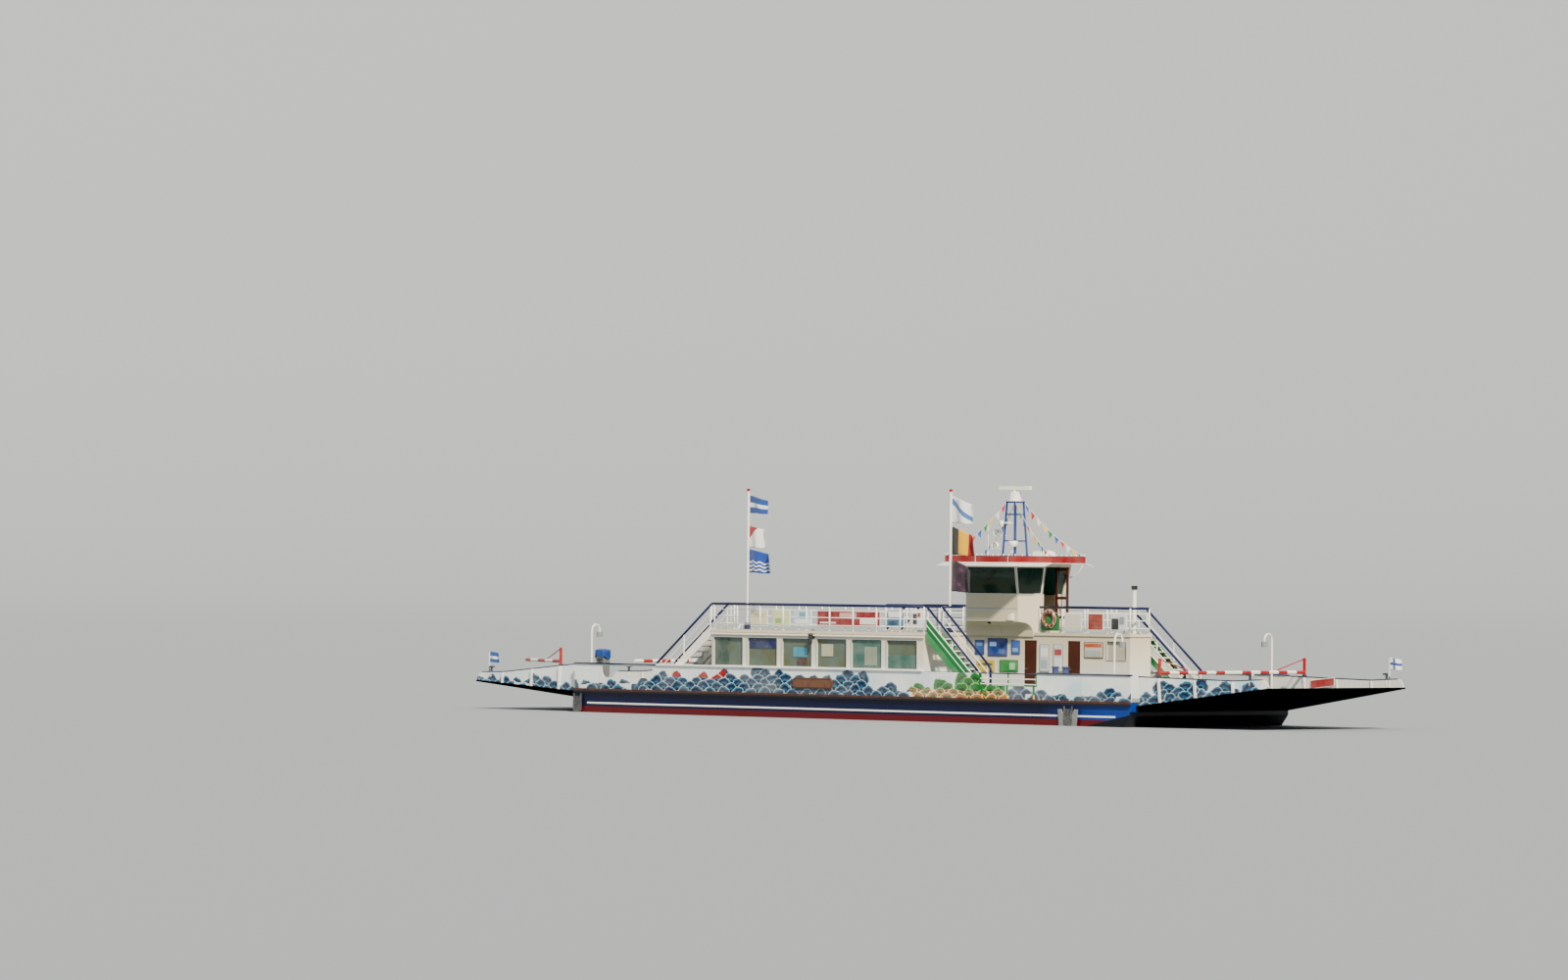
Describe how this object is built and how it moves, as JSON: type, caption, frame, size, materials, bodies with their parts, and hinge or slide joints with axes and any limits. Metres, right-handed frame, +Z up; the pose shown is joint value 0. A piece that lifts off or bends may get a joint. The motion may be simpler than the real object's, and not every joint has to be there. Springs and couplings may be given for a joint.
{
  "type": "1:2 scale model of a double-ended passenger and car ferry",
  "caption": "Double-ended river ferry model with a side cabin, a raised wheelhouse, hinged end ramps, swing barriers, stairs, rails, flagpoles and steerable propellers.",
  "frame": {"origin": "on the waterline plane, amidships on the centreline", "axes": "+X along the boat toward the raised ramp, -Y toward the passenger cabin's side, +Z up from the water"},
  "size_m": [22.6716, 5, 5.605],
  "materials": {
    "hull_paint": "gloss",
    "strake": "matte",
    "white_paint": "satin",
    "cream_paint": "satin",
    "green_paint": "satin",
    "red_paint": "gloss",
    "blue_paint": "satin",
    "cabin_glass": "gloss",
    "dark_glass": "gloss",
    "brown_wood": "satin",
    "dark_plastic": "matte",
    "white_plastic": "gloss",
    "orange_plastic": "satin",
    "flag_cloth": "matte",
    "galvanised": "matte",
    "bronze": "satin"
  },
  "bodies": {
    "boat": {"hull": "hull_paint", "rubbing_strake_near": "strake", "rubbing_strake_far": "strake", "bulwark_near": "white_paint", "bulwark_far": "white_paint", "cabin_near": "cream_paint", "cabin_far": "cream_paint", "cabin_glass_near": "cabin_glass", "cabin_glass_far": "cabin_glass", "upper_deck_near": "cream_paint", "upper_deck_far": "cream_paint", "rail_near_outer": "white_paint", "rail_near_inner": "white_paint", "rail_far_outer": "white_paint", "rail_far_left": "white_paint", "rail_far_right": "white_paint", "stair_near_left": "white_paint", "stair_near_middle": "green_paint", "stair_far_right": "green_paint", "stair_far_middle": "white_paint", "wheelhouse": "cream_paint", "wheelhouse_foot": "cream_paint", "wheelhouse_glass": "dark_glass", "wheelhouse_roof": "red_paint", "helm_console": "dark_plastic", "mast": "blue_paint", "roof_hatch": "white_plastic", "exhaust_pipe": "white_paint", "flagpole_left": "white_paint", "flagpole_right": "white_paint", "flags_left": "flag_cloth", "flags_right": "flag_cloth", "lifebuoy": "orange_plastic", "lamp_left_near": "white_paint", "lamp_left_far": "white_paint", "lamp_right_near": "white_paint", "lamp_right_far": "white_paint", "anchor_left": "galvanised", "anchor_right": "galvanised", "winch_left": "blue_paint", "winch_right": "blue_paint"},
    "ramp_right_body": {"ramp_right": "white_paint", "flag_tip_right": "flag_cloth"},
    "ramp_left_body": {"ramp_left": "white_paint", "flag_tip_left": "flag_cloth"},
    "barrier_right_near_body": {"barrier_right_near": "red_paint"},
    "barrier_right_far_body": {"barrier_right_far": "red_paint"},
    "barrier_left_near_body": {"barrier_left_near": "red_paint"},
    "barrier_left_far_body": {"barrier_left_far": "red_paint"},
    "gate_near_body": {"gate_near": "green_paint"},
    "gate_far_body": {"gate_far": "green_paint"},
    "cabin_door_near_body": {"cabin_door_near": "brown_wood"},
    "cabin_door_far_a_body": {"cabin_door_far_a": "brown_wood"},
    "cabin_door_far_b_body": {"cabin_door_far_b": "brown_wood"},
    "wheelhouse_door_body": {"wheelhouse_door": "brown_wood"},
    "radar_body": {"radar_scanner": "white_plastic"},
    "thruster_right_body": {"thruster_right": "hull_paint"},
    "thruster_left_body": {"thruster_left": "hull_paint"},
    "propeller_right_body": {"propeller_right": "bronze"},
    "propeller_left_body": {"propeller_left": "bronze"}
  },
  "joints": [
    {"name": "ramp_right_lift", "type": "hinge", "parent": "boat", "child": "ramp_right_body", "pos_m": [8.06, 0, 0.405], "axis": [0, -1, 0], "range_deg": [-14, 6]},
    {"name": "ramp_left_lift", "type": "hinge", "parent": "boat", "child": "ramp_left_body", "pos_m": [-8.06, 0, 0.405], "axis": [0, 1, 0], "range_deg": [-10, 10]},
    {"name": "barrier_right_near_swing", "type": "hinge", "parent": "ramp_right_body", "child": "barrier_right_near_body", "pos_m": [8.5401, -2.18128, 1.05], "axis": [0, 0, -1], "range_deg": [0, 88]},
    {"name": "barrier_right_far_swing", "type": "hinge", "parent": "ramp_right_body", "child": "barrier_right_far_body", "pos_m": [8.5401, 2.18128, 1.05], "axis": [0, 0, 1], "range_deg": [0, 88]},
    {"name": "barrier_left_near_swing", "type": "hinge", "parent": "ramp_left_body", "child": "barrier_left_near_body", "pos_m": [-8.5803, -2.18128, 1.01], "axis": [0, 0, 1], "range_deg": [-66, 22]},
    {"name": "barrier_left_far_swing", "type": "hinge", "parent": "ramp_left_body", "child": "barrier_left_far_body", "pos_m": [-8.5803, 2.18128, 1.01], "axis": [0, 0, -1], "range_deg": [0, 88]},
    {"name": "gate_near_swing", "type": "hinge", "parent": "boat", "child": "gate_near_body", "pos_m": [3.93, -2.435, 0.9], "axis": [0, 0, 1], "range_deg": [0, 90]},
    {"name": "gate_far_swing", "type": "hinge", "parent": "boat", "child": "gate_far_body", "pos_m": [-3.93, 2.435, 0.9], "axis": [0, 0, 1], "range_deg": [0, 90]},
    {"name": "cabin_door_near_swing", "type": "hinge", "parent": "boat", "child": "cabin_door_near_body", "pos_m": [-1.4925, -1.205, 1], "axis": [0, 0, 1], "range_deg": [0, 95]},
    {"name": "cabin_door_far_a_swing", "type": "hinge", "parent": "boat", "child": "cabin_door_far_a_body", "pos_m": [2.0725, 1.205, 1], "axis": [0, 0, 1], "range_deg": [0, 95]},
    {"name": "cabin_door_far_b_swing", "type": "hinge", "parent": "boat", "child": "cabin_door_far_b_body", "pos_m": [3.2925, 1.205, 1], "axis": [0, 0, 1], "range_deg": [0, 95]},
    {"name": "wheelhouse_door_swing", "type": "hinge", "parent": "boat", "child": "wheelhouse_door_body", "pos_m": [2.135, 1.7125, 2.6], "axis": [0, 0, 1], "range_deg": [-90, 0]},
    {"name": "radar_turn", "type": "hinge", "parent": "boat", "child": "radar_body", "pos_m": [1.065, 1.6, 4.76], "axis": [0, 0, 1], "continuous": true},
    {"name": "thruster_right_steer", "type": "hinge", "parent": "boat", "child": "thruster_right_body", "pos_m": [5.5, 1.2, -0.4], "axis": [0, 0, 1], "continuous": true},
    {"name": "thruster_left_steer", "type": "hinge", "parent": "boat", "child": "thruster_left_body", "pos_m": [-5.5, -1.2, -0.4], "axis": [0, 0, 1], "continuous": true},
    {"name": "propeller_right_spin", "type": "hinge", "parent": "thruster_right_body", "child": "propeller_right_body", "pos_m": [5.7, 1.2, -0.56], "axis": [1, 0, 0], "continuous": true},
    {"name": "propeller_left_spin", "type": "hinge", "parent": "thruster_left_body", "child": "propeller_left_body", "pos_m": [-5.7, -1.2, -0.56], "axis": [-1, 0, 0], "continuous": true}
  ]
}
